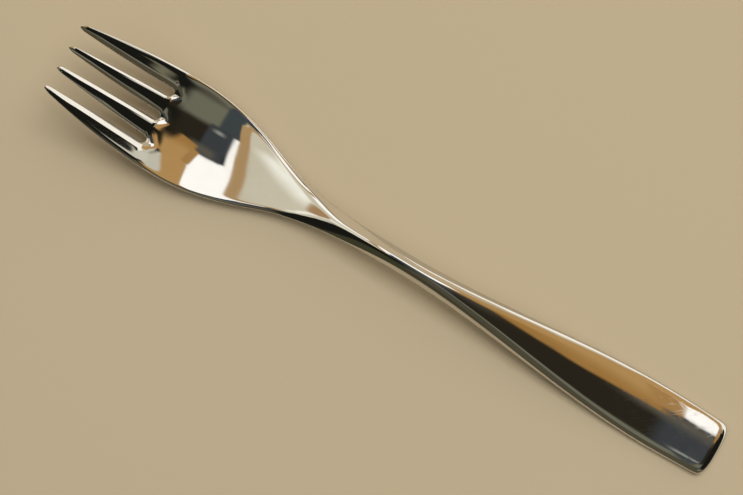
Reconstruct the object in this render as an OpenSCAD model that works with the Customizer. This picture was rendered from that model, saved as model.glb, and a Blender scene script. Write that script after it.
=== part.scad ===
// Dinner fork with four tines, one piece of polished stainless steel.
// The forging is divided into its named sections, which meet face to face.
// Millimetres. X runs along the fork with the tines at -X, Z is up, and the table is at Z = 0.

/* [Lengths along the fork] */
// Length of the tines, from the points to the root of the slots
tine_length = 28; // [24:0.5:40]
// Length of the bowl, from the slot roots to the start of the neck
bowl_length = 50; // [44:0.5:62]
// Length of the neck
neck_length = 48; // [40:0.5:70]
// Length of the handle, from the neck to its end
handle_length = 72; // [60:0.5:90]

/* [Widths seen from above] */
// Width across the bowl at its widest
bowl_width = 27.8; // [23:0.1:32]
// Width across the shoulder, where the bowl narrows fastest
shoulder_width = 16.6; // [13:0.1:19]
// Width of the neck at its waist
neck_width = 5.6; // [4:0.1:7]
// Width of the handle at its widest
handle_width = 16.5; // [12:0.1:21]
// Width that the sides of the handle have drawn in to at its end
handle_end_width = 15; // [11:0.1:18]

/* [Where the widths lie] */
// From the slot roots to the widest part of the bowl
widest_from_root = 6.5; // [2:0.1:10]
// From the shoulder to the start of the neck
shoulder_from_neck = 18; // [14:0.5:22]
// Steepness of the shoulder against a straight line from bowl to waist
shoulder_steepness = 2.4; // [1.8:0.1:2.8]
// From the start of the neck to its waist
waist_from_bowl = 24; // [16:0.5:34]
// From the start of the neck to where its two rounded edges meet in a ridge
ridge_from_bowl = 10; // [6:0.5:14]
// From the widest part of the handle to its end
handle_widest_from_end = 19; // [12:0.5:30]
// Length of the rounded end of the handle
handle_end_round = 3.2; // [2:0.1:9]
// Squareness of the rounded end, where 2 is an ellipse
handle_end_squareness = 3.4; // [2:0.1:4]

/* [Tines and the slots between them] */
// Width of a tine at its point
tine_tip_width = 1.35; // [0.6:0.05:1.6]
// Width of an inner tine at its root
inner_tine_root_width = 5; // [4:0.1:6]
// Width of a slot at the points
slot_mouth_width = 4.6; // [4:0.1:5.6]
// Width of a slot at its round root
slot_root_width = 2.1; // [1.4:0.1:2.8]
// How much sooner a slot narrows than evenly, which is 1
slot_taper = 1.6; // [1:0.1:2]
// Flare of the outer tines at the points against a straight line to the widest part of the bowl
tine_flare = 1.8; // [1.4:0.1:2.2]

/* [Side profile] */
// Height of the underside at the points
tip_rise = 15.5; // [10:0.5:20]
// Steepness at the points against a straight line from the belly
tip_steepness = 1.5; // [1:0.1:2]
// From the slot roots to the belly, where the bowl touches the table
belly_from_root = 18.5; // [12:0.5:24]
// Clear height under the neck
neck_arch = 6; // [4:0.5:14]
// From the start of the neck to the top of its arch
arch_from_bowl = 22; // [16:0.5:36]
// Length of the flat that the handle rests on, from its end
rest_length = 14; // [10:0.5:30]

/* [Thickness] */
// Thickness at the points
tip_thickness = 0.9; // [0.6:0.1:1.4]
// Thickness at the slot roots
root_thickness = 2.3; // [1.8:0.1:3]
// Thickness of the bowl at its belly
bowl_thickness = 2.1; // [1.6:0.1:3]
// Thickness at the start of the neck
neck_start_thickness = 3; // [2.4:0.1:3.4]
// Thickness of the neck at its waist
neck_thickness = 4.2; // [3.6:0.1:5.5]
// Thickness of the handle where it is thinnest
handle_thickness = 2.9; // [2.5:0.1:4]
// From the thinnest part of the handle to its end
handle_thinnest_from_end = 12; // [8:0.5:24]
// Thickness of the handle at its end
handle_end_thickness = 3.4; // [2.8:0.1:4]

/* [Dish and crown] */
// Radius of the dish across the tines and bowl
dish_radius = 32; // [26:1:60]
// Height of the crown across the handle
handle_crown = 0.8; // [0:0.1:1]

/* [Rounded edges] */
// Width of the rounding along the edges of the tines
tine_round = 1.1; // [0.6:0.1:1.4]
// Length of the scoop behind each slot root
root_scoop = 2.8; // [1:0.1:4]
// Width of the rounding along the rim of the bowl
rim_round = 0.7; // [0.5:0.1:1.5]
// Width of the rounding along the edges of the shoulder
shoulder_round = 1.2; // [0.7:0.1:2]
// Width of the rounding along the edges of the neck
neck_round = 3; // [1.5:0.1:3.4]
// Width of the rounding along the edges of the handle
handle_round = 1.9; // [1:0.1:3]
// Width of the rounding at the end of the handle
handle_end_edge = 2.5; // [1:0.1:3.5]
// Fullness of the edges of the tines, where 2 is a quarter ellipse and 1 a flat bevel
tine_fullness = 1.2; // [1.2:0.1:2.5]
// Fullness of the scoops behind the slot roots
scoop_fullness = 1.2; // [1.1:0.1:2]
// Fullness of the rim of the bowl
rim_fullness = 2; // [1.2:0.1:3]
// Fullness of the edges of the neck
neck_fullness = 1.2; // [1.1:0.1:2.4]
// Fullness of the edges of the handle
handle_fullness = 2; // [1.2:0.1:3]
// Length over which each point is drawn in
point_round = 1.2; // [0.4:0.1:2]

/* [Hidden] */

steel = [0.80, 0.78, 0.74];

// Stations along the fork, measured from the points
root_s = tine_length;
neck_s = root_s + bowl_length;
handle_s = neck_s + neck_length;
end_s = handle_s + handle_length;
widest_s = root_s + widest_from_root;
shoulder_s = neck_s - shoulder_from_neck;
waist_s = neck_s + waist_from_bowl;
ridge_s = neck_s + ridge_from_bowl;
handle_widest_s = end_s - handle_widest_from_end;
thinnest_s = end_s - handle_thinnest_from_end;
end_round_s = end_s - handle_end_round;
belly_s = root_s + belly_from_root;
arch_s = neck_s + arch_from_bowl;
rest_s = end_s - rest_length;
slot_root_r = slot_root_width / 2;
slot_centre_s = root_s - slot_root_r;

// From the middle slot to an outer slot, and the width across the outer points
slot_pitch_tip = slot_mouth_width + tine_tip_width;
slot_pitch_root = slot_root_width + inner_tine_root_width;
tip_spread = 3 * slot_mouth_width + 4 * tine_tip_width;

// Steps of the lofts
tine_rings = 14;
slot_root_rings = 6;
bowl_rings = 22;
neck_rings = 16;
handle_rings = 20;
handle_end_rings = 9;
lobe_points = 9;
shank_points = 17;

// How much closer together the steps of the bowl lie at the slot roots, where 1 is evenly spaced
root_crowding = 1.5;

// The last ring of the handle stops this share short of closing to a point
end_cut = 0.001;
// How much smaller than the full section each point is at its tip
point_size = 0.45;
// How sharply the scoop behind a slot root narrows towards the sides of the slot
scoop_power = 8;
// Shares of the thickness that the rounded edges take at the slot roots, belly, waist and rest
upper_edge = [0.4, 0.35, 0.62, 0.42];
lower_edge = [0.3, 0.35, 0.28, 0.25];

// A cubic between two knots of [station, value, slope]
function cubic(s, a, b) =
    let (h = b[0] - a[0], u = min(1, max(0, (s - a[0]) / h)))
    (2*u^3 - 3*u^2 + 1) * a[1] + (u^3 - 2*u^2 + u) * h * a[2]
    + (3*u^2 - 2*u^3) * b[1] + (u^3 - u^2) * h * b[2];

// A curve through knots of [station, value, slope]
function curve(s, knots, i = 0) =
    i >= len(knots) - 2 || s < knots[i + 1][0] ? cubic(s, knots[i], knots[i + 1])
    : curve(s, knots, i + 1);

// Half of the width between the two sides, as if the handle had no rounded end
function side(s) =
    let (tip = tip_spread / 2, bowl = bowl_width / 2, waist = neck_width / 2,
         shoulder_slope = -shoulder_steepness * (bowl - waist) / (waist_s - widest_s),
         end_slope = (handle_end_width - handle_width) / handle_widest_from_end)
    curve(s, [[0, tip, tine_flare * (bowl - tip) / widest_s],
              [widest_s, bowl, 0],
              [shoulder_s, shoulder_width / 2, shoulder_slope],
              [waist_s, waist, 0],
              [handle_widest_s, handle_width / 2, 0],
              [end_s, handle_end_width / 2, end_slope]]);

// How far a station lies into the rounded end of the handle, from 0 to 1
function into_end(s) = max(0, (s - end_round_s) / handle_end_round);

// Half of the width of the finished outline
function half_width(s) =
    side(s) * (1 - into_end(s)^handle_end_squareness)^(1 / handle_end_squareness);

// Height of the underside along the middle of the fork
function underside(s) =
    curve(s, [[0, tip_rise, -tip_steepness * tip_rise / belly_s],
              [belly_s, 0, 0],
              [arch_s, neck_arch, 0],
              [rest_s, 0, 0],
              [end_s, 0, 0]]);

// Thickness along the middle of the fork
function thickness(s) =
    let (neck_slope = 2 * (neck_thickness - neck_start_thickness) / waist_from_bowl)
    curve(s, [[0, tip_thickness, (root_thickness - tip_thickness) / root_s],
              [root_s, root_thickness, 0],
              [belly_s, bowl_thickness, 0],
              [neck_s, neck_start_thickness, neck_slope],
              [waist_s, neck_thickness, 0],
              [thinnest_s, handle_thickness, 0],
              [end_s, handle_end_thickness, 0]]);

// Share of the dish that is left, which fades out where the bowl becomes the neck
function dish_left(s) = curve(s, [[shoulder_s, 1, 0], [ridge_s, 0, 0]]);

// Fall of the top from the middle to the edge, which crowns the handle
function crown(s) = curve(s, [[waist_s, 0, 0], [handle_widest_s, handle_crown, 0], [end_s, handle_crown, 0]]);

// Width and fullness of the rounded edges, and the shares of the thickness that they take
function round_width(s) =
    curve(s, [[root_s, tine_round, 0],
              [widest_s, rim_round, 0],
              [shoulder_s, shoulder_round, 0],
              [ridge_s, neck_round, 0],
              [waist_s, neck_round, 0],
              [handle_widest_s, handle_round, 0],
              [end_s, handle_end_edge, 0]]);
function fullness(s) =
    curve(s, [[root_s, tine_fullness, 0],
              [widest_s, rim_fullness, 0],
              [shoulder_s, neck_fullness, 0],
              [waist_s, neck_fullness, 0],
              [handle_widest_s, handle_fullness, 0]]);
function edge_share(s, shares) =
    curve(s, [[root_s, shares[0], 0],
              [belly_s, shares[1], 0],
              [waist_s, shares[2], 0],
              [rest_s, shares[3], 0]]);

// The slots: 0 is the middle one, and 1 and -1 are the outer ones
function slot_middle(slot, s) =
    slot * (slot_pitch_tip + (slot_pitch_root - slot_pitch_tip) * min(1, s / root_s));
function slot_half(s) =
    s < slot_centre_s
    ? (slot_root_width + (slot_mouth_width - slot_root_width) * (1 - s / slot_centre_s)^slot_taper) / 2
    : sqrt(max(0, slot_root_r^2 - (s - slot_centre_s)^2));

// Distance from a point of the plan to a slot, and to the outline
function slot_gap(slot, s, t) =
    s < slot_centre_s ? abs(t - slot_middle(slot, s)) - slot_half(s)
    : norm([s - slot_centre_s, t - slot_middle(slot, s)]) - slot_root_r;
function outline_gap(s, t) =
    s <= end_round_s ? half_width(s) - abs(t)
    : let (n = handle_end_squareness, x = into_end(s), y = abs(t) / side(s), m = (x^n + y^n)^(1 / n),
           slope = norm([x^(n - 1) / handle_end_round, y^(n - 1) / side(s)]) * m^(1 - n))
      (1 - m) / slope;

// How squarely a point lies behind a slot root, from 0 beside it to 1 straight behind it
function behind_root(slot, s, t) =
    s <= slot_centre_s ? 0
    : let (away = [s - slot_centre_s, t - slot_middle(slot, s)]) (away[0] / norm(away))^scoop_power;

// Drop of a rounded edge, as a share of its height, at a distance from the edge
function rounding(gap, width, full) =
    gap >= width ? 0 : let (inward = 1 - max(0, gap) / width) 1 - (1 - inward^full)^(1 / full);

// Drop of the edge around a slot, which runs out in a scoop straight behind its root
function slot_drop(slot, s, t) =
    let (behind = behind_root(slot, s, t),
         width = tine_round + (root_scoop - tine_round) * behind,
         full = tine_fullness + (scoop_fullness - tine_fullness) * behind)
    rounding(slot_gap(slot, s, t), width, full);

// Drop at a point of the plan, from whichever edge is nearest
function edge_drop(s, t) =
    max(rounding(outline_gap(s, t), round_width(s), fullness(s)),
        max([for (slot = [-1 : 1]) slot_drop(slot, s, t)]));

// Height of the dished underside and thickness of the crowned metal, before the edges are rounded
function dished(s, t) = underside(s) + dish_left(s) * t^2 / (2 * dish_radius);
function crowned(s, t) = thickness(s) - crown(s) * (t / side(s))^2;

// Heights of the two faces at a point of the plan
function top_z(s, t) =
    dished(s, t) + crowned(s, t) * (1 - edge_share(s, upper_edge) * edge_drop(s, t));
function bottom_z(s, t) =
    dished(s, t) + crowned(s, t) * edge_share(s, lower_edge) * edge_drop(s, t);

// Places across a strip from a to b, closest together near its edges
function across(a, b, count) =
    [for (j = [0 : count - 1]) (a + b) / 2 - (b - a) / 2 * cos(180 * j / (count - 1))];
function reversed(list) = [for (i = [len(list) - 1 : -1 : 0]) list[i]];

// A closed section at a station, over the top and back along the underside
function section(s, places) =
    concat([for (t = places) [s - end_s / 2, t, top_z(s, t)]],
           [for (t = reversed(places)) [s - end_s / 2, t, bottom_z(s, t)]]);

// A section drawn in towards its own middle
function shrunk(ring, share) =
    let (middle = [for (axis = [0 : 2]) ([for (p = ring) 1] * [for (p = ring) p[axis]]) / len(ring)])
    [for (p = ring) middle + (p - middle) * share];

// A solid through sections that all have the same number of points
module loft(rings) {
    n = len(rings[0]);
    last = len(rings) - 1;
    sides = [for (i = [0 : last - 1], j = [0 : n - 1])
             let (k = (j + 1) % n, a = i * n, b = a + n)
             each [[a + j, b + k, b + j], [a + j, a + k, b + k]]];
    first_cap = [for (j = [n - 1 : -1 : 0]) j];
    last_cap = [for (j = [0 : n - 1]) last * n + j];
    polyhedron([for (ring = rings) each ring], concat([first_cap], sides, [last_cap]));
}

// Edges of a tine at a station: tine 0 is the outer left one and tine 3 the outer right one
function tine_edges(tine, s) =
    let (left = tine == 0 ? -half_width(s) : slot_middle(tine - 2, s) + slot_half(s),
         right = tine == 3 ? half_width(s) : slot_middle(tine - 1, s) - slot_half(s))
    [left, right];

function tine_section(tine, s) =
    let (edges = tine_edges(tine, s)) section(s, across(edges[0], edges[1], lobe_points));

module tine(tine) {
    straight = [for (i = [0 : tine_rings]) point_round + (slot_centre_s - point_round) * i / tine_rings];
    rounded = [for (i = [1 : slot_root_rings]) slot_centre_s + slot_root_r * sin(90 * i / slot_root_rings)];
    point = shrunk(tine_section(tine, 0), point_size);
    color(steel) loft(concat([point], [for (s = concat(straight, rounded)) tine_section(tine, s)]));
}

// The bowl keeps the columns of the four tines, so that its front face meets theirs point for point
function bowl_places(s) =
    let (outer = half_width(s), inner = outer * slot_pitch_root / half_width(root_s),
         lines = [-outer, -inner, 0, inner, outer])
    [for (i = [0 : 3], j = [(i == 0 ? 0 : 1) : lobe_points - 1])
     across(lines[i], lines[i + 1], lobe_points)[j]];

module bowl() {
    // Stations lie closest together at the slot roots, and one lies on the belly
    to_belly = [for (i = [0 : bowl_rings / 2]) root_s + belly_from_root * (2 * i / bowl_rings)^root_crowding];
    to_neck = [for (i = [1 : bowl_rings / 2]) belly_s + (neck_s - belly_s) * 2 * i / bowl_rings];
    color(steel) loft([for (s = concat(to_belly, to_neck)) section(s, bowl_places(s))]);
}

module neck() {
    stations = [for (i = [0 : neck_rings]) neck_s + neck_length * i / neck_rings];
    color(steel) loft([for (s = stations) section(s, across(-half_width(s), half_width(s), shank_points))]);
}

module handle() {
    before_rest = [for (i = [0 : handle_rings / 2]) handle_s + (rest_s - handle_s) * 2 * i / handle_rings];
    on_rest = [for (i = [1 : handle_rings / 2]) rest_s + (end_round_s - rest_s) * 2 * i / handle_rings];
    rounded = [for (i = [1 : handle_end_rings])
               end_round_s + handle_end_round * (1 - end_cut) * sin(90 * i / handle_end_rings)];
    color(steel) loft([for (s = concat(before_rest, on_rest, rounded))
                       section(s, across(-half_width(s), half_width(s), shank_points))]);
}

tine(0);  // outer_tine_left
tine(1);  // inner_tine_left
tine(2);  // inner_tine_right
tine(3);  // outer_tine_right
bowl();
neck();
handle();
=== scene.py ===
"""Dress the dinner fork: the mirror-polished forging, the studio around it and the camera above it."""
import logging
import math
from dataclasses import dataclass, field
from enum import Enum, IntEnum

import bmesh
import bpy
from mathutils import Matrix, Vector


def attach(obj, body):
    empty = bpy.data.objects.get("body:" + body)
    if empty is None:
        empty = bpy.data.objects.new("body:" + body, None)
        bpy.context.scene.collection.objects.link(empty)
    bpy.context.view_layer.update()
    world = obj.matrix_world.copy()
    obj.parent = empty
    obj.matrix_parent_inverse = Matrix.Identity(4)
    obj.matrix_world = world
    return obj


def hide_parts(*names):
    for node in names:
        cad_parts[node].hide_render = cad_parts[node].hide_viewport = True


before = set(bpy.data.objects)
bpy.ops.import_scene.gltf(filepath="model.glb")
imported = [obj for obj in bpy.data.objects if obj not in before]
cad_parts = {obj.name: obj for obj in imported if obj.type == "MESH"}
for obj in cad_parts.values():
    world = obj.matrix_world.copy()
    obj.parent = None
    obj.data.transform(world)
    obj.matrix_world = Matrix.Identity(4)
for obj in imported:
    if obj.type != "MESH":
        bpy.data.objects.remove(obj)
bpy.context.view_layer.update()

MM = 0.001
IMAGE_WIDTH = 743
BODY = "root"
STEEL_SLOT = "polished_steel"

log = logging.getLogger("fork")


class Section(Enum):
    """The named sections of the forging, which are the nodes of the solid model too."""

    OUTER_TINE_LEFT = "outer_tine_left"
    INNER_TINE_LEFT = "inner_tine_left"
    INNER_TINE_RIGHT = "inner_tine_right"
    OUTER_TINE_RIGHT = "outer_tine_right"
    BOWL = "bowl"
    NECK = "neck"
    HANDLE = "handle"


class Row(IntEnum):
    """The two rows of cage points at a station: the under face and the upper face."""

    UNDER = 0
    UPPER = 1


SECTIONS = list(Section)
TINES = SECTIONS[: SECTIONS.index(Section.BOWL)]
SLOTS = (-1, 0, 1)
FLAT_FACES_PER_TINE = 3
FACES_PER_EDGE = 2
FACES_PER_TINE = FLAT_FACES_PER_TINE + 2 * FACES_PER_EDGE
COLUMNS = FACES_PER_TINE * len(TINES) + 1

Colour = tuple[float, float, float]
Source = bpy.types.NodeSocket | Colour | float


@dataclass(frozen=True)
class Knot:
    """A point that a profile runs through, with its slope there."""

    station: float
    value: float
    slope: float = 0.0


@dataclass(frozen=True)
class Profile:
    """A smooth curve along the fork, through knots in order of station."""

    knots: tuple[Knot, ...]

    def at(self, station: float) -> float:
        """Give the curve's value at a station.

        Args:
            station: Distance from the points of the tines, in millimetres.

        Returns:
            The value there, level before the first knot and after the last.
        """
        pairs = list(zip(self.knots, self.knots[1:]))
        before, after = next((p for p in pairs if station < p[1].station), pairs[-1])
        span = after.station - before.station
        u = min(1.0, max(0.0, (station - before.station) / span))
        return (
            (2 * u**3 - 3 * u**2 + 1) * before.value
            + (u**3 - 2 * u**2 + u) * span * before.slope
            + (3 * u**2 - 2 * u**3) * after.value
            + (u**3 - u**2) * span * after.slope
        )


def profile(*knots: tuple[float, ...]) -> Profile:
    """Make a profile from plain tuples of station, value and slope."""
    return Profile(tuple(Knot(*k) for k in knots))


def spaced(start: float, end: float, steps: int) -> list[float]:
    """Divide a length into equal steps, leaving out its start."""
    return [start + (end - start) * i / steps for i in range(1, steps + 1)]


def rounding(gap: float, width: float, fullness: float) -> float:
    """Give the drop of a rounded edge, as a share of its height.

    Args:
        gap: Distance from the edge.
        width: Distance at which the rounding ends.
        fullness: 2 for a quarter ellipse, and less for an edge nearer to a flat bevel.

    Returns:
        1 on the edge, falling to 0 where the rounding ends.
    """
    inward = 1 - min(max(gap, 0.0), width) / width
    return 1 - (1 - inward**fullness) ** (1 / fullness)


@dataclass
class ForkShape:
    """The form of the fork as heights over its plan, in millimetres from the points of the tines."""

    tine_length: float = 28.0
    bowl_length: float = 50.0
    neck_length: float = 48.0
    handle_length: float = 72.0
    bowl_width: float = 27.8
    shoulder_width: float = 16.6
    neck_width: float = 5.6
    handle_width: float = 16.5
    handle_end_width: float = 15.0
    widest_from_root: float = 6.5
    shoulder_from_neck: float = 18.0
    shoulder_steepness: float = 2.4
    waist_from_bowl: float = 24.0
    ridge_from_bowl: float = 10.0
    handle_widest_from_end: float = 19.0
    handle_end_round: float = 3.2
    handle_end_squareness: float = 3.4
    tine_tip_width: float = 1.35
    inner_tine_root_width: float = 5.0
    slot_mouth_width: float = 4.6
    slot_root_width: float = 2.1
    slot_taper: float = 1.6
    tine_flare: float = 1.8
    tip_rise: float = 15.5
    tip_steepness: float = 1.5
    belly_from_root: float = 18.5
    neck_arch: float = 6.0
    arch_from_bowl: float = 22.0
    rest_length: float = 14.0
    tip_thickness: float = 0.9
    root_thickness: float = 2.3
    bowl_thickness: float = 2.1
    neck_start_thickness: float = 3.0
    neck_thickness: float = 4.2
    handle_thickness: float = 2.9
    handle_thinnest_from_end: float = 12.0
    handle_end_thickness: float = 3.4
    dish_radius: float = 32.0
    handle_crown: float = 0.8
    tine_round: float = 1.1
    root_scoop: float = 2.8
    rim_round: float = 0.7
    shoulder_round: float = 1.2
    neck_round: float = 3.0
    handle_round: float = 1.9
    handle_end_edge: float = 2.5
    tine_fullness: float = 1.2
    scoop_fullness: float = 1.2
    rim_fullness: float = 2.0
    neck_fullness: float = 1.2
    handle_fullness: float = 2.0
    point_round: float = 1.2
    facet_from_bowl: float = 5.0
    facet_width: float = 3.4
    ridge_softness: float = 0.5
    scoop_power: float = 8.0
    upper_edge: tuple[float, ...] = (0.4, 0.35, 0.62, 0.42)
    lower_edge: tuple[float, ...] = (0.3, 0.35, 0.28, 0.25)

    def __post_init__(self) -> None:
        """Work out the stations and the profiles that run through them."""
        self.root = self.tine_length
        self.neck = self.root + self.bowl_length
        self.handle = self.neck + self.neck_length
        self.end = self.handle + self.handle_length
        self.widest = self.root + self.widest_from_root
        self.shoulder = self.neck - self.shoulder_from_neck
        self.belly = self.root + self.belly_from_root
        self.waist = self.neck + self.waist_from_bowl
        self.ridge = self.neck + self.ridge_from_bowl
        self.facet = self.neck + self.facet_from_bowl
        self.rest = self.end - self.rest_length
        self.widest_handle = self.end - self.handle_widest_from_end
        self.end_round = self.end - self.handle_end_round
        self.slot_radius = self.slot_root_width / 2
        self.slot_centre = self.root - self.slot_radius
        self.pitch_tip = self.slot_mouth_width + self.tine_tip_width
        self.pitch_root = self.slot_root_width + self.inner_tine_root_width
        self.make_outline()
        self.make_heights()
        self.make_edges()

    def make_outline(self) -> None:
        """Set the half width of the plan, from the points to the end of the handle."""
        tip = (len(SLOTS) * self.slot_mouth_width + len(TINES) * self.tine_tip_width) / 2
        bowl, waist = self.bowl_width / 2, self.neck_width / 2
        handle, end = self.handle_width / 2, self.handle_end_width / 2
        shoulder_slope = -self.shoulder_steepness * (bowl - waist) / (self.waist - self.widest)
        end_slope = 2 * (end - handle) / self.handle_widest_from_end
        self.side = profile(
            (0, tip, self.tine_flare * (bowl - tip) / self.widest),
            (self.widest, bowl),
            (self.shoulder, self.shoulder_width / 2, shoulder_slope),
            (self.waist, waist),
            (self.widest_handle, handle),
            (self.end, end, end_slope),
        )

    def make_heights(self) -> None:
        """Set the underside, the thickness, the dish and the crown."""
        arch = self.neck + self.arch_from_bowl
        self.underside = profile(
            (0, self.tip_rise, -self.tip_steepness * self.tip_rise / self.belly),
            (self.belly, 0),
            (arch, self.neck_arch),
            (self.rest, 0),
            (self.end, 0),
        )
        neck_slope = 2 * (self.neck_thickness - self.neck_start_thickness) / self.waist_from_bowl
        self.thickness = profile(
            (0, self.tip_thickness, (self.root_thickness - self.tip_thickness) / self.root),
            (self.root, self.root_thickness),
            (self.belly, self.bowl_thickness),
            (self.neck, self.neck_start_thickness, neck_slope),
            (self.waist, self.neck_thickness),
            (self.end - self.handle_thinnest_from_end, self.handle_thickness),
            (self.end, self.handle_end_thickness),
        )
        self.dish_left = profile((self.shoulder, 1), (self.ridge, 0))
        self.crown = profile(
            (self.waist, 0), (self.widest_handle, self.handle_crown), (self.end, self.handle_crown)
        )

    def make_edges(self) -> None:
        """Set the width, the fullness and the heights of the rounded edges."""
        self.round_width = profile(
            (self.root, self.tine_round),
            (self.widest, self.rim_round),
            (self.shoulder, self.shoulder_round),
            (self.facet, self.facet_width),
            (self.waist, self.neck_round),
            (self.widest_handle, self.handle_round),
            (self.end, self.handle_end_edge),
        )
        self.softened = profile(
            (self.shoulder, 0), (self.waist, self.ridge_softness), (self.widest_handle, 0)
        )
        self.fullness = profile(
            (self.root, self.tine_fullness),
            (self.widest, self.rim_fullness),
            (self.shoulder, self.neck_fullness),
            (self.waist, self.neck_fullness),
            (self.widest_handle, self.handle_fullness),
        )
        stations = (self.root, self.belly, self.waist, self.rest)
        self.round_above = profile(*zip(stations, self.upper_edge))
        self.round_below = profile(*zip(stations, self.lower_edge))

    def slot_middle(self, slot: int, station: float) -> float:
        """Give the middle line of a slot: 0 is the middle slot, -1 and 1 are the outer ones."""
        share = min(1.0, station / self.root)
        return slot * (self.pitch_tip + (self.pitch_root - self.pitch_tip) * share)

    def slot_half(self, station: float) -> float:
        """Give half of a slot's width, which comes down to nothing at its round root.

        Args:
            station: Distance from the points of the tines, in millimetres.

        Returns:
            Half of the width in millimetres.
        """
        if station < self.slot_centre:
            share = (1 - station / self.slot_centre) ** self.slot_taper
            return (self.slot_root_width + (self.slot_mouth_width - self.slot_root_width) * share) / 2
        return math.sqrt(max(0.0, self.slot_radius**2 - (station - self.slot_centre) ** 2))

    def slot_drop(self, slot: int, station: float, across: float) -> float:
        """Give the drop of the edge around a slot, which runs out in a scoop straight behind its root.

        Args:
            slot: 0 for the middle slot, -1 and 1 for the outer ones.
            station: Distance from the points of the tines, in millimetres.
            across: Distance from the middle line, in millimetres.

        Returns:
            A share from 0, clear of the edge, to 1 on it.
        """
        beside = across - self.slot_middle(slot, station)
        ahead = station - self.slot_centre
        if ahead < 0:
            return rounding(abs(beside) - self.slot_half(station), self.tine_round, self.tine_fullness)
        away = math.hypot(ahead, beside)
        behind = (ahead / away) ** self.scoop_power if away else 0.0
        width = self.tine_round + (self.root_scoop - self.tine_round) * behind
        fullness = self.tine_fullness + (self.scoop_fullness - self.tine_fullness) * behind
        return rounding(away - self.slot_radius, width, fullness)

    def outline_gap(self, station: float, across: float) -> float:
        """Estimate the distance from a point of the plan to the outline.

        Args:
            station: Distance from the points of the tines, in millimetres.
            across: Distance from the middle line, in millimetres.

        Returns:
            The distance in millimetres, never below zero.
        """
        side = self.side.at(station)
        x = max(0.0, (station - self.end_round) / self.handle_end_round)
        if x == 0.0:
            soft = self.softened.at(station)
            share = (math.hypot(across, soft) - soft) / (math.hypot(side, soft) - soft)
            return max(0.0, side * (1 - share))
        n = self.handle_end_squareness
        y = abs(across) / side
        reach = (x**n + y**n) ** (1 / n)
        slope = math.hypot(x ** (n - 1) / self.handle_end_round, y ** (n - 1) / side) * reach ** (1 - n)
        return max(0.0, (1 - reach) / slope)

    def end_outline(self, angle: float) -> tuple[float, float]:
        """Give a point of the rounded end of the handle.

        Args:
            angle: Turn from the left corner to the right one, from -90 to 90 degrees.

        Returns:
            The station and the distance across.
        """
        power = 2 / self.handle_end_squareness
        turn = math.radians(angle)
        station = self.end_round + self.handle_end_round * abs(math.cos(turn)) ** power
        across = math.copysign(abs(math.sin(turn)) ** power, turn) * self.side.at(station)
        return station, across

    def edge_drop(self, station: float, across: float) -> float:
        """Give how far the rounding of the nearest edge has taken hold.

        Args:
            station: Distance from the points of the tines, in millimetres.
            across: Distance from the middle line, in millimetres.

        Returns:
            A share from 0, clear of every edge, to 1 on an edge.
        """
        gap = self.outline_gap(station, across)
        drops = [rounding(gap, self.round_width.at(station), self.fullness.at(station))]
        drops += [self.slot_drop(slot, station, across) for slot in SLOTS]
        return max(drops)

    def height(self, station: float, across: float, drop: float, row: Row) -> float:
        """Give the height of a face over a point of the plan.

        Args:
            station: Distance from the points of the tines, in millimetres.
            across: Distance from the middle line, in millimetres.
            drop: How far the rounding of the edges has taken hold, from 0 to 1.
            row: The upper or the under face.

        Returns:
            The height above the table in millimetres.
        """
        share = across / self.side.at(station)
        dish = self.dish_left.at(station) * across**2 / (2 * self.dish_radius)
        base = self.underside.at(station) + dish
        metal = self.thickness.at(station) - self.crown.at(station) * share**2
        if row is Row.UPPER:
            return base + metal * (1 - self.round_above.at(station) * drop)
        return base + metal * self.round_below.at(station) * drop


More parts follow.
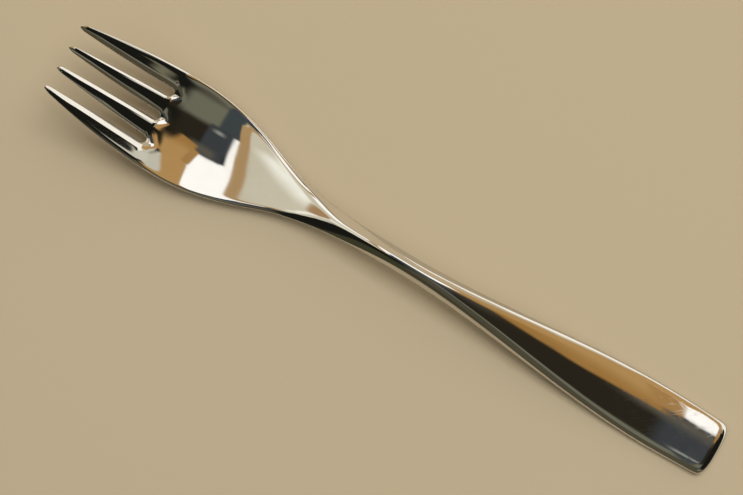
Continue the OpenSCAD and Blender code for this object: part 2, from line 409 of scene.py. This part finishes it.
@dataclass(frozen=True)
class SteelFinish:
    """Mirror-polished stainless steel with the faint marks of use, in metres and degrees."""

    name: str = STEEL_SLOT
    colour: Colour = (0.70, 0.685, 0.655)
    dull_colour: Colour = (0.64, 0.625, 0.595)
    tint_limits: tuple[float, float] = (0.4, 0.8)
    polished: float = 0.02
    handled: float = 0.075
    smear_scale: float = 55.0
    smear_detail: float = 5.0
    smear_grain: float = 0.6
    smear_limits: tuple[float, float] = (0.35, 0.75)
    wave_scale: float = 110.0
    wave_detail: float = 0.0
    wave_depth: float = 0.00005
    scratch_scale: float = 900.0
    scratch_detail: float = 2.0
    scratch_stretch: float = 0.06
    scratch_turn: float = 12.0
    scratch_strength: float = 0.06
    scratch_depth: float = 0.00002
    hair_scale: float = 2800.0
    hair_detail: float = 1.0
    hair_stretch: float = 0.06
    hair_turns: tuple[float, ...] = (-24.0, 38.0)
    hair_limits: tuple[float, float] = (0.56, 0.70)
    hair_reach: tuple[float, float] = (0.055, 0.09)
    hair_roughness: float = 0.12

    def material(self) -> bpy.types.Material:
        """Build the finish.

        Returns:
            A material that any piece of the fork can carry.
        """
        mat = bpy.data.materials.new(self.name)
        mat.use_nodes = True
        nodes, links = mat.node_tree.nodes, mat.node_tree.links
        shader = nodes["Principled BSDF"]
        shader.inputs["Metallic"].default_value = 1.0
        place = nodes.new("ShaderNodeTexCoord").outputs["Object"]
        smear = self.add_noise(mat, place, self.smear_scale, self.smear_detail)
        smear.inputs["Roughness"].default_value = self.smear_grain
        smeared = smear.outputs["Fac"]
        rough = self.add_range(mat, smeared, self.smear_limits, (self.polished, self.handled))
        links.new(self.add_hairs(mat, place, rough), shader.inputs["Roughness"])
        tint = nodes.new("ShaderNodeValToRGB")
        colours = (self.colour, self.dull_colour)
        for stop, position, colour in zip(tint.color_ramp.elements, self.tint_limits, colours):
            stop.position = position
            stop.color = (*colour, 1.0)
        links.new(smeared, tint.inputs["Fac"])
        links.new(tint.outputs["Color"], shader.inputs["Base Color"])
        links.new(self.add_scratches(mat, place), shader.inputs["Normal"])
        return mat

    def add_noise(
        self, mat: bpy.types.Material, place: bpy.types.NodeSocket, scale: float, detail: float
    ) -> bpy.types.Node:
        """Add a pattern of noise.

        Args:
            mat: The material to add it to.
            place: The coordinates.
            scale: How fine the pattern is.
            detail: How many finer layers it has.

        Returns:
            The node of the pattern.
        """
        noise = mat.node_tree.nodes.new("ShaderNodeTexNoise")
        noise.inputs["Scale"].default_value = scale
        noise.inputs["Detail"].default_value = detail
        mat.node_tree.links.new(place, noise.inputs["Vector"])
        return noise

    def add_range(
        self,
        mat: bpy.types.Material,
        value: bpy.types.NodeSocket,
        limits: tuple[float, float],
        results: tuple[float, float] = (0.0, 1.0),
    ) -> bpy.types.NodeSocket:
        """Add a step that takes a value from one range to another.

        Args:
            mat: The material to add it to.
            value: The value to take over.
            limits: The range that it comes from.
            results: The range that it goes to.

        Returns:
            The new value, held within its range.
        """
        step = mat.node_tree.nodes.new("ShaderNodeMapRange")
        step.inputs["From Min"].default_value, step.inputs["From Max"].default_value = limits
        step.inputs["To Min"].default_value, step.inputs["To Max"].default_value = results
        mat.node_tree.links.new(value, step.inputs["Value"])
        return step.outputs["Result"]

    def add_hairs(
        self, mat: bpy.types.Material, place: bpy.types.NodeSocket, rough: bpy.types.NodeSocket
    ) -> bpy.types.NodeSocket:
        """Add hairline scratches, rougher than the polish around them, near the end of the handle.

        Args:
            mat: The material to add them to.
            place: The coordinates.
            rough: The roughness without them.

        Returns:
            The roughness with them.
        """
        nodes, links = mat.node_tree.nodes, mat.node_tree.links
        parts = nodes.new("ShaderNodeSeparateXYZ")
        links.new(place, parts.inputs["Vector"])
        wear = self.add_range(mat, parts.outputs["X"], self.hair_reach, (0.0, self.hair_roughness))
        for turn in self.hair_turns:
            stretch = nodes.new("ShaderNodeMapping")
            stretch.vector_type = "TEXTURE"
            stretch.inputs["Scale"].default_value = (1 / self.hair_stretch, 1.0, 1.0)
            stretch.inputs["Rotation"].default_value = (0.0, 0.0, math.radians(turn))
            links.new(place, stretch.inputs["Vector"])
            hairs = self.add_noise(mat, stretch.outputs["Vector"], self.hair_scale, self.hair_detail)
            share = self.add_range(mat, hairs.outputs["Fac"], self.hair_limits)
            total = nodes.new("ShaderNodeMath")
            total.operation = "MULTIPLY_ADD"
            for source, target in zip((share, wear, rough), total.inputs):
                links.new(source, target)
            rough = total.outputs[0]
        return rough

    def add_scratches(
        self, mat: bpy.types.Material, place: bpy.types.NodeSocket
    ) -> bpy.types.NodeSocket:
        """Add the slow waves that polishing leaves, and fine marks that run along the fork.

        Args:
            mat: The material to add them to.
            place: The coordinates.

        Returns:
            The surface normal with both.
        """
        nodes, links = mat.node_tree.nodes, mat.node_tree.links
        waves = self.add_noise(mat, place, self.wave_scale, self.wave_detail)
        swell = nodes.new("ShaderNodeBump")
        swell.inputs["Distance"].default_value = self.wave_depth
        links.new(waves.outputs["Fac"], swell.inputs["Height"])
        stretch = nodes.new("ShaderNodeMapping")
        stretch.inputs["Scale"].default_value = (self.scratch_stretch, 1.0, 1.0)
        stretch.inputs["Rotation"].default_value = (0.0, 0.0, math.radians(self.scratch_turn))
        links.new(place, stretch.inputs["Vector"])
        marks = self.add_noise(
            mat, stretch.outputs["Vector"], self.scratch_scale, self.scratch_detail
        )
        bump = nodes.new("ShaderNodeBump")
        bump.inputs["Strength"].default_value = self.scratch_strength
        bump.inputs["Distance"].default_value = self.scratch_depth
        links.new(marks.outputs["Fac"], bump.inputs["Height"])
        links.new(swell.outputs["Normal"], bump.inputs["Normal"])
        return bump.outputs["Normal"]


@dataclass
class Forging:
    """The fork itself, extruded station by station as one cage, smoothed, and parted into its sections."""

    shape: ForkShape
    finish: SteelFinish
    cage_name: str = "forging"
    smoothing: int = 2
    edge_column: float = 0.3
    widest_inset: float = 0.3
    crowding: float = 0.55
    slot_end_share: float = 0.7
    root_rings: tuple[float, ...] = (0.5, 1.1, 1.8, 2.6, 3.6, 5.0)
    bowl_rings: int = 17
    neck_rings: int = 16
    handle_rings: int = 18
    tine_rings: int = 12
    point_rings: tuple[float, ...] = (2.4, 1.2, 0.4, 0.0)
    point_size: float = 0.45
    fan_length: float = 14.0
    fan_shares: tuple[float, ...] = (0.22, 0.42, 0.6, 0.75, 0.86, 0.94, 0.98, 1.0)
    pieces: dict[Section, bpy.types.Object] = field(default_factory=dict)
    cage: bpy.types.Object = field(init=False)

    def build(self) -> None:
        """Model the forging, part it and dress the sections."""
        self.start_at_root()
        self.draw_shank()
        for tine in range(len(TINES)):
            self.draw_tine(tine)
        self.mark_sections()
        self.smooth()
        self.part()
        self.dress()

    def root_columns(self) -> list[float]:
        """Give the places of the cage columns across the slot roots, where neighbouring tines share one.

        Returns:
            Distances from the middle line in millimetres, from left to right.
        """
        places = self.tine_columns(0, self.shape.root)
        for tine in range(1, len(TINES)):
            places += self.tine_columns(tine, self.shape.root)[1:]
        return places

    def tine_columns(self, tine: int, station: float) -> list[float]:
        """Give the places of one tine's columns at a station.

        Args:
            tine: Number of the tine, from the left.
            station: Distance from the points, in millimetres.

        Returns:
            Distances from the middle line, from left to right.
        """
        s = self.shape
        side, half = s.side.at(station), s.slot_half(station)
        last = len(TINES) - 1
        left = -side if tine == 0 else s.slot_middle(SLOTS[tine - 1], station) + half
        right = side if tine == last else s.slot_middle(SLOTS[tine], station) - half
        inset = min(s.tine_round, self.widest_inset * (right - left))
        edge = self.edge_column * inset
        flat = spaced(left + inset, right - inset, FLAT_FACES_PER_TINE)
        return [left, left + edge, left + inset, *flat, right - edge, right]

    def shank_columns(self, station: float) -> list[float]:
        """Give the places of the columns behind the slot roots, as shares of the half width.

        Args:
            station: Distance from the points, in millimetres.

        Returns:
            Shares from -1 to 1, from left to right.
        """
        s = self.shape
        root_half = s.side.at(s.root)
        from_root = [y / root_half for y in self.root_columns()]
        rounded = [-math.cos(math.pi * i / (COLUMNS - 1)) for i in range(COLUMNS)]
        even = [-1 + 2 * i / (COLUMNS - 1) for i in range(COLUMNS)]
        shank = [self.crowding * a + (1 - self.crowding) * b for a, b in zip(rounded, even)]
        turn = min(1.0, max(0.0, (station - s.root) / (s.neck - s.root)))
        blend = turn * turn * (3 - 2 * turn)
        return [(1 - blend) * a + blend * b for a, b in zip(from_root, shank)]

    def point(self, station: float, across: float, drop: float, row: Row) -> Vector:
        """Place a point of the cage, in metres, with the middle of the fork at the origin."""
        z = self.shape.height(station, across, drop, row)
        return Vector((station - self.shape.end / 2, across, z)) * MM

    def start_at_root(self) -> None:
        """Start with an upright strip of faces across the slot roots."""
        bpy.ops.object.select_all(action="DESELECT")
        bpy.ops.mesh.primitive_grid_add(x_subdivisions=COLUMNS - 1, y_subdivisions=1, size=2 * MM)
        self.cage = bpy.context.object
        self.cage.name = self.cage_name
        bpy.ops.object.mode_set(mode="EDIT")
        mesh = bmesh.from_edit_mesh(self.cage.data)
        column = mesh.verts.layers.int.new("column")
        row = mesh.verts.layers.int.new("row")
        station = mesh.verts.layers.float.new("station")
        mesh.verts.layers.int.new("tine")
        for v in mesh.verts:
            v[column] = round((v.co.x / MM + 1) / 2 * (COLUMNS - 1))
            v[row] = int(Row.UPPER if v.co.y > 0 else Row.UNDER)
            v[station] = self.shape.root
        bmesh.update_edit_mesh(self.cage.data)
        bpy.ops.mesh.select_all(action="SELECT")
        self.place_shank_ring(self.shape.root)

    def selected(self) -> tuple[bmesh.types.BMesh, list[bmesh.types.BMVert]]:
        """Give the cage in edit mode and its selected points."""
        mesh = bmesh.from_edit_mesh(self.cage.data)
        return mesh, [v for v in mesh.verts if v.select]

    def place_shank_ring(self, station: float) -> None:
        """Move the selected ring of points to a station behind the slot roots.

        Args:
            station: Distance from the points of the tines, in millimetres.
        """
        mesh, ring = self.selected()
        column, row = mesh.verts.layers.int["column"], mesh.verts.layers.int["row"]
        at = mesh.verts.layers.float["station"]
        half = self.shape.side.at(station)
        shares = self.shank_columns(station)
        for v in ring:
            across = shares[v[column]] * half
            v.co = self.point(station, across, self.shape.edge_drop(station, across), Row(v[row]))
            v[at] = station
        bmesh.update_edit_mesh(self.cage.data)

    def place_fan_ring(self, share: float) -> None:
        """Move the selected ring towards the rounded end of the handle.

        Args:
            share: How far along the fan of columns that ends on the outline, from 0 to 1.
        """
        s = self.shape
        mesh, ring = self.selected()
        column, row = mesh.verts.layers.int["column"], mesh.verts.layers.int["row"]
        at = mesh.verts.layers.float["station"]
        start = s.end - self.fan_length
        shares = self.shank_columns(start)
        for v in ring:
            angle = -90 + 180 * v[column] / (COLUMNS - 1)
            end_station, end_across = s.end_outline(angle)
            station = start + (end_station - start) * share
            from_start = shares[v[column]] * s.side.at(start)
            across = from_start + (end_across - from_start) * share
            on_outline = v[column] in (0, COLUMNS - 1) or share == 1.0
            drop = 1.0 if on_outline else s.edge_drop(station, across)
            v.co = self.point(station, across, drop, Row(v[row]))
            v[at] = station
        bmesh.update_edit_mesh(self.cage.data)

    def extrude(self) -> None:
        """Extrude the selected faces a little, ready to be placed."""
        bpy.ops.mesh.extrude_region_move(TRANSFORM_OT_translate={"value": (MM, 0, 0)})

    def draw_shank(self) -> None:
        """Extrude the strip along the bowl, the neck and the handle."""
        s = self.shape
        near_root = [s.root + ring for ring in self.root_rings]
        bowl = spaced(near_root[-1], s.neck, self.bowl_rings)
        neck = spaced(s.neck, s.handle, self.neck_rings)
        handle = spaced(s.handle, s.end - self.fan_length, self.handle_rings)
        for station in near_root + bowl + neck + handle:
            self.extrude()
            self.place_shank_ring(station)
        for share in self.fan_shares:
            self.extrude()
            self.place_fan_ring(share)

    def draw_tine(self, tine: int) -> None:
        """Extrude one tine from its faces at the slot roots to its point.

        Args:
            tine: Number of the tine, from the left.
        """
        s = self.shape
        mesh = bmesh.from_edit_mesh(self.cage.data)
        column, at = mesh.verts.layers.int["column"], mesh.verts.layers.float["station"]
        first = tine * FACES_PER_TINE
        wanted = set(range(first, first + FACES_PER_TINE + 1))
        bpy.ops.mesh.select_all(action="DESELECT")
        for face in mesh.faces:
            on_root = all(v[at] == s.root for v in face.verts)
            if on_root and {v[column] for v in face.verts} <= wanted:
                face.select_set(True)
        bmesh.update_edit_mesh(self.cage.data)
        slot_end = [s.slot_centre + share * s.slot_radius for share in (self.slot_end_share, 0, -1)]
        body = spaced(slot_end[-1], self.point_rings[0], self.tine_rings)
        for station in slot_end + body + list(self.point_rings[1:]):
            self.extrude()
            self.place_tine_ring(tine, station)

    def place_tine_ring(self, tine: int, station: float) -> None:
        """Move the selected ring of points to a station of a tine, drawn in at its very point.

        Args:
            tine: Number of the tine, from the left.
            station: Distance from the points, in millimetres.
        """
        mesh, ring = self.selected()
        column, row = mesh.verts.layers.int["column"], mesh.verts.layers.int["row"]
        at, owner = mesh.verts.layers.float["station"], mesh.verts.layers.int["tine"]
        places = self.tine_columns(tine, station)
        for v in ring:
            across = places[v[column] - tine * FACES_PER_TINE]
            v.co = self.point(station, across, self.shape.edge_drop(station, across), Row(v[row]))
            v[at] = station
            v[owner] = tine
        if station < self.shape.point_round:
            share = self.point_size + (1 - self.point_size) * station / self.shape.point_round
            middle = sum((v.co for v in ring), Vector()) / len(ring)
            for v in ring:
                v.co = middle.lerp(v.co, share)
        bmesh.update_edit_mesh(self.cage.data)

    def mark_sections(self) -> None:
        """Give each face of the cage the number of its section as its material number."""
        s = self.shape
        mesh = bmesh.from_edit_mesh(self.cage.data)
        owner, at = mesh.verts.layers.int["tine"], mesh.verts.layers.float["station"]
        for face in mesh.faces:
            stations = [v[at] for v in face.verts]
            if min(stations) < s.root:
                face.material_index = max(v[owner] for v in face.verts)
            elif max(stations) <= s.neck:
                face.material_index = SECTIONS.index(Section.BOWL)
            elif max(stations) <= s.handle:
                face.material_index = SECTIONS.index(Section.NECK)
            else:
                face.material_index = SECTIONS.index(Section.HANDLE)
        bmesh.update_edit_mesh(self.cage.data)
        bpy.ops.mesh.select_all(action="SELECT")
        bpy.ops.mesh.normals_make_consistent(inside=False)
        bpy.ops.object.mode_set(mode="OBJECT")

    def smooth(self) -> None:
        """Round the cage into the finished surface and keep its normals for the parted sections."""
        for section in SECTIONS:
            self.cage.data.materials.append(bpy.data.materials.new(section.value))
        modifier = self.cage.modifiers.new("smooth", "SUBSURF")
        modifier.levels = self.smoothing
        modifier.render_levels = self.smoothing
        bpy.ops.object.modifier_apply(modifier=modifier.name)
        bpy.ops.object.shade_smooth()
        mesh = self.cage.data
        kept = mesh.attributes.new("kept_normal", "FLOAT_VECTOR", "POINT")
        for vertex in mesh.vertices:
            kept.data[vertex.index].vector = vertex.normal

    def part(self) -> None:
        """Separate the sections and close each one where it was parted."""
        bpy.ops.object.mode_set(mode="EDIT")
        bpy.ops.mesh.select_all(action="SELECT")
        bpy.ops.mesh.separate(type="MATERIAL")
        bpy.ops.object.mode_set(mode="OBJECT")
        for piece in list(bpy.context.selected_objects):
            section = Section(piece.data.materials[0].name)
            self.pieces[section] = piece
        for section, piece in self.pieces.items():
            piece.name = f"{section.value}_steel"
            piece.data.name = piece.name
            self.close(piece)

    def close(self, piece: bpy.types.Object) -> None:
        """Cap the open rims of a section and set its normals as they were on the whole forging.

        Args:
            piece: The section's object.
        """
        bpy.ops.object.select_all(action="DESELECT")
        piece.select_set(True)
        bpy.context.view_layer.objects.active = piece
        outer_faces = len(piece.data.polygons)
        bpy.ops.object.mode_set(mode="EDIT")
        bpy.ops.mesh.select_all(action="SELECT")
        # Zero sets no limit on the number of sides of a hole.
        bpy.ops.mesh.fill_holes(sides=0)
        bpy.ops.object.mode_set(mode="OBJECT")
        mesh = piece.data
        kept = mesh.attributes["kept_normal"].data
        normals = []
        for polygon in mesh.polygons:
            for corner in polygon.loop_indices:
                vertex = mesh.loops[corner].vertex_index
                on_skin = polygon.index < outer_faces
                normals.append(kept[vertex].vector if on_skin else polygon.normal)
        mesh.normals_split_custom_set([n.normalized() for n in normals])

    def dress(self) -> None:
        """Put the finish on every section, attach each to the body and hide the solid model's node of the
        same name.
        """
        steel = self.finish.material()
        for section in SECTIONS:
            piece = self.pieces[section]
            piece.data.materials.clear()
            piece.data.materials.append(steel)
            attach(piece, BODY)
            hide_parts(section.value)


@dataclass(frozen=True)
class Panel:
    """A soft-edged card around the fork, placed by how far its directions slant from straight up.

    The two ranges are in degrees: towards the handle's end, and towards the right side of the fork.
    The edges that end the second range have the softness of the others, or that of fade where it is set.
    A turn swings the card about its own middle, in degrees.
    """

    toward_handle: tuple[float, float]
    toward_right: tuple[float, float]
    colour: Colour
    softness: float
    fade: float = 0.0
    turn: float = 0.0


@dataclass(frozen=True)
class Lamp:
    """A square soft lamp, by its place and the length of its sides in metres, and its power in watts."""

    name: str
    place: tuple[float, float, float]
    size: float
    watts: float


@dataclass
class Studio:
    """The plain pale floor, the soft cards that the steel mirrors, and the lamps."""

    floor_size: float = 6.0
    floor_colour: Colour = (0.50, 0.42, 0.29)
    floor_roughness: float = 0.85
    floor_gloss: float = 0.1
    key: Lamp = Lamp("key", (0.12, 0.5, 1.3), 0.8, 11.0)
    fill: Lamp = Lamp("fill", (-0.3, -0.5, 1.6), 1.6, 5.0)
    gloom: Colour = (0.012, 0.012, 0.0095)
    left_wall: Panel = Panel((-180, 180), (-180, -65), (0.058, 0.055, 0.030), 3.0)
    right_wall: Panel = Panel((-180, 180), (50, 180), (0.66, 0.53, 0.35), 5.0)
    pale_corner: Panel = Panel((25, 180), (44.9, 180), (1.30, 1.24, 1.12), 0.8)
    pale_card: Panel = Panel((15, 33), (26, 66), (0.74, 0.71, 0.59), 1.0, turn=-35)
    edge_card: Panel = Panel((28.5, 33.3), (25, 60), (0.80, 0.765, 0.65), 0.6, fade=2.0)
    olive_wall: Panel = Panel((24, 180), (-180, -48), (0.10, 0.085, 0.05), 5.0)
    moss_strip: Panel = Panel((32.7, 34.6), (-46, -27), (0.22, 0.21, 0.14), 0.8)
    edge_line: Panel = Panel((27, 60), (-53, -41), (0.25, 0.24, 0.195), 1.5)
    grey_wall: Panel = Panel((3, 25), (-75, -13), (0.10, 0.09, 0.06), 4.0)
    grey_card: Panel = Panel((5, 26), (-34, -14), (0.20, 0.20, 0.145), 2.5)
    slate_card: Panel = Panel((-8, 6), (-38, -14), (0.065, 0.08, 0.085), 2.0)
    umber_card: Panel = Panel((9, 25), (-14, 12), (0.030, 0.025, 0.016), 3.0)
    thin_card: Panel = Panel((1, 7), (-13.5, -11.2), (0.36, 0.375, 0.335), 3.0, fade=0.8)
    dusk_card: Panel = Panel((0, 16), (5, 12), (0.14, 0.128, 0.10), 3.0, fade=4.0)
    cream_card: Panel = Panel((-30, -11), (-32, 46), (0.80, 0.745, 0.58), 1.0, turn=6.6)
    cream_glow: Panel = Panel((-26, -20), (-20, 4), (1.28, 1.27, 1.15), 4.0, turn=33)
    ridge_card: Panel = Panel((-40, -9), (32, 48), (1.40, 1.37, 1.28), 2.0)
    brown_board: Panel = Panel((-60, -28.6), (-10, 22), (0.50, 0.31, 0.15), 0.5)
    window: Panel = Panel((-14, 12), (12, 46), (1.45, 1.43, 1.38), 0.8, turn=6.6)
    window_strip: Panel = Panel((-10.5, -5.5), (-15, 14), (1.40, 1.38, 1.32), 1.0, turn=6.6)
    dark_card: Panel = Panel((-5, 11), (-16, 12.5), (0.06, 0.067, 0.075), 1.5)
    ochre_card: Panel = Panel((10, 23.2), (14, 62), (0.60, 0.36, 0.135), 0.8, fade=5.0, turn=6.6)
    ochre_foot: Panel = Panel((13.5, 23.5), (6.8, 30), (0.46, 0.245, 0.07), 1.2, turn=-14)
    ochre_step: Panel = Panel((9.5, 14.5), (11.8, 26), (0.50, 0.28, 0.095), 0.8, turn=-10)
    brown_post: Panel = Panel((-14, -9.8), (-30, 46), (0.56, 0.36, 0.165), 0.5, turn=6.6)
    tree: bpy.types.NodeTree = field(init=False)
    along: bpy.types.NodeSocket = field(init=False)
    across: bpy.types.NodeSocket = field(init=False)

    def build(self) -> None:
        """Lay the floor, set the cards around it and hang the lamps."""
        self.lay_floor()
        self.make_world()
        self.hang(self.key)
        self.hang(self.fill)

    def cards(self) -> tuple[Panel, ...]:
        """Put the cards in order.

        Returns:
            All the cards, from the hindmost to the foremost.
        """
        walls = (self.left_wall, self.right_wall, self.olive_wall)
        pale = (self.pale_card, self.edge_card, self.pale_corner)
        left = (self.moss_strip, self.edge_line)
        low = (self.grey_wall, self.grey_card, self.slate_card, self.umber_card)
        cream = (self.cream_card, self.cream_glow, self.ridge_card, self.brown_board)
        dark = (self.dark_card, self.thin_card, self.dusk_card)
        high = (self.window, self.window_strip)
        brown = (self.ochre_foot, self.ochre_card, self.ochre_step, self.brown_post)
        return walls + pale + left + low + cream + high + dark + brown

    def lay_floor(self) -> None:
        """Lay the plain floor that the fork rests on."""
        bpy.ops.object.select_all(action="DESELECT")
        bpy.ops.mesh.primitive_plane_add(size=self.floor_size)
        floor = bpy.context.object
        floor.name = "floor"
        mat = bpy.data.materials.new("pale_floor")
        mat.use_nodes = True
        shader = mat.node_tree.nodes["Principled BSDF"]
        shader.inputs["Base Color"].default_value = (*self.floor_colour, 1.0)
        shader.inputs["Roughness"].default_value = self.floor_roughness
        shader.inputs["Specular IOR Level"].default_value = self.floor_gloss
        floor.data.materials.append(mat)

    def make_world(self) -> None:
        """Set the cards on the world, by direction alone."""
        world = bpy.data.worlds.new("studio")
        bpy.context.scene.world = world
        world.use_nodes = True
        self.tree = world.node_tree
        background = self.tree.nodes["Background"]
        place = self.node("ShaderNodeTexCoord")
        parts = self.node("ShaderNodeSeparateXYZ")
        self.link(place.outputs["Generated"], parts.inputs["Vector"])
        self.along = self.slant(parts.outputs["X"], parts.outputs["Z"])
        self.across = self.slant(parts.outputs["Y"], parts.outputs["Z"])
        colour: Source = self.gloom
        for panel in self.cards():
            colour = self.mix(self.panel_share(panel), colour, panel.colour)
        self.link(colour, background.inputs["Color"])

    def slant(self, sideways: bpy.types.NodeSocket, up: bpy.types.NodeSocket) -> bpy.types.NodeSocket:
        """Give how far a direction slants from straight up, in degrees."""
        return self.calculate("DEGREES", self.calculate("ARCTAN2", sideways, up))

    def node(self, kind: str) -> bpy.types.Node:
        """Add a node to the world."""
        return self.tree.nodes.new(kind)

    def link(self, source: bpy.types.NodeSocket, target: bpy.types.NodeSocket) -> None:
        """Join two sockets of the world."""
        self.tree.links.new(source, target)

    def feed(self, target: bpy.types.NodeSocket, value: Source) -> None:
        """Join a socket to another, or set it to a number or colour.

        Args:
            target: The socket that takes the value.
            value: The socket to join it to, or the number or colour to set.
        """
        if isinstance(value, bpy.types.NodeSocket):
            self.link(value, target)
        elif isinstance(value, tuple):
            target.default_value = (*value, 1.0)
        else:
            target.default_value = value

    def calculate(self, operation: str, first: Source, second: Source = 0.0) -> bpy.types.NodeSocket:
        """Add a calculation to the world.

        Args:
            operation: What is done with the values.
            first: The first value.
            second: The second value, where the operation takes two.

        Returns:
            The socket of its result.
        """
        node = self.node("ShaderNodeMath")
        node.operation = operation
        self.feed(node.inputs[0], first)
        self.feed(node.inputs[1], second)
        return node.outputs[0]

    def ramp(self, value: Source, low: float, high: float) -> bpy.types.NodeSocket:
        """Add a smooth step to the world.

        Args:
            value: The value that it follows.
            low: Where the step starts, at 0.
            high: Where the step ends, at 1.

        Returns:
            The socket of its result.
        """
        node = self.node("ShaderNodeMapRange")
        node.interpolation_type = "SMOOTHSTEP"
        self.feed(node.inputs["Value"], value)
        node.inputs["From Min"].default_value = low
        node.inputs["From Max"].default_value = high
        return node.outputs["Result"]

    def mix(self, share: Source, first: Source, second: Source) -> bpy.types.NodeSocket:
        """Add a blend of two colours to the world.

        Args:
            share: How much of the second colour it takes, from 0 to 1.
            first: The first colour.
            second: The second colour.

        Returns:
            The socket of its result.
        """
        node = self.node("ShaderNodeMix")
        node.data_type = "RGBA"
        self.feed(node.inputs["Factor"], share)
        colours = [s for s in node.inputs if s.type == "RGBA"]
        self.feed(colours[0], first)
        self.feed(colours[1], second)
        return next(s for s in node.outputs if s.type == "RGBA")

    def panel_share(self, panel: Panel) -> bpy.types.NodeSocket:
        """Work out how much of a panel shows in each direction.

        Args:
            panel: The panel.

        Returns:
            The socket of its share, from 0 to 1.
        """
        turn = math.radians(panel.turn)
        middles = [sum(reach) / 2 for reach in (panel.toward_handle, panel.toward_right)]
        halves = [(high - low) / 2 for low, high in (panel.toward_handle, panel.toward_right)]
        along = self.calculate("SUBTRACT", self.along, middles[0])
        across = self.calculate("SUBTRACT", self.across, middles[1])
        u = self.calculate(
            "ADD",
            self.calculate("MULTIPLY", along, math.cos(turn)),
            self.calculate("MULTIPLY", across, math.sin(turn)),
        )
        v = self.calculate(
            "SUBTRACT",
            self.calculate("MULTIPLY", across, math.cos(turn)),
            self.calculate("MULTIPLY", along, math.sin(turn)),
        )
        shares = []
        edges = (panel.softness, panel.fade or panel.softness)
        for value, half, soft in zip((u, v), halves, edges):
            size = self.calculate("ABSOLUTE", value)
            outside = self.ramp(size, half - soft, half + soft)
            shares.append(self.calculate("SUBTRACT", 1.0, outside))
        return self.calculate("MULTIPLY", shares[0], shares[1])

    def hang(self, lamp: Lamp) -> None:
        """Hang a lamp so that it faces the fork and lights it without showing in the steel.

        Args:
            lamp: The lamp.
        """
        light = bpy.data.lights.new(lamp.name, "AREA")
        light.size = lamp.size
        light.energy = lamp.watts
        holder = bpy.data.objects.new(lamp.name, light)
        bpy.context.scene.collection.objects.link(holder)
        holder.location = lamp.place
        holder.rotation_euler = (-Vector(lamp.place)).to_track_quat("-Z", "Y").to_euler()
        holder.visible_camera = False
        holder.visible_glossy = False


@dataclass
class OverheadCamera:
    """A camera nearly straight above the fork, a little to its left, in millimetres and degrees."""

    target: tuple[float, float, float] = (-6.3, -0.72, 6.0)
    distance: float = 600.0
    nearest: float = 10.0
    lean_left: float = 3.0
    axis_angle: float = 31.02
    pixel: float = 0.26
    sensor: float = 36.0

    def place(self) -> None:
        """Put the camera in the scene and make it the one in use."""
        lean = math.radians(self.lean_left)
        toward = Vector((0.0, -math.tan(lean), 1.0)).normalized()
        turn = math.radians(self.axis_angle)
        right = Vector((math.cos(turn), math.sin(turn), 0.0))
        right = (right - right.dot(toward) * toward).normalized()
        up = toward.cross(right)
        turned = Matrix((right, up, toward)).transposed().to_4x4()
        data = bpy.data.cameras.new("overhead")
        width = IMAGE_WIDTH * self.pixel
        data.sensor_width = self.sensor
        data.lens = self.sensor * self.distance / width
        data.clip_start = self.nearest * MM
        holder = bpy.data.objects.new("overhead", data)
        bpy.context.scene.collection.objects.link(holder)
        middle = Vector(self.target) * MM
        holder.matrix_world = Matrix.Translation(middle + toward * self.distance * MM) @ turned
        bpy.context.scene.camera = holder


def main() -> None:
    """Build the camera, the studio and the fork, and report the fork's pieces."""
    logging.basicConfig(level=logging.INFO, format="%(name)s %(message)s")
    bpy.context.scene.view_settings.view_transform = "Standard"
    OverheadCamera().place()
    Studio().build()
    forging = Forging(ForkShape(), SteelFinish())
    forging.build()
    for piece in forging.pieces.values():
        log.info("%s: %d faces", piece.name, len(piece.data.polygons))


if __name__ == "__main__":
    main()
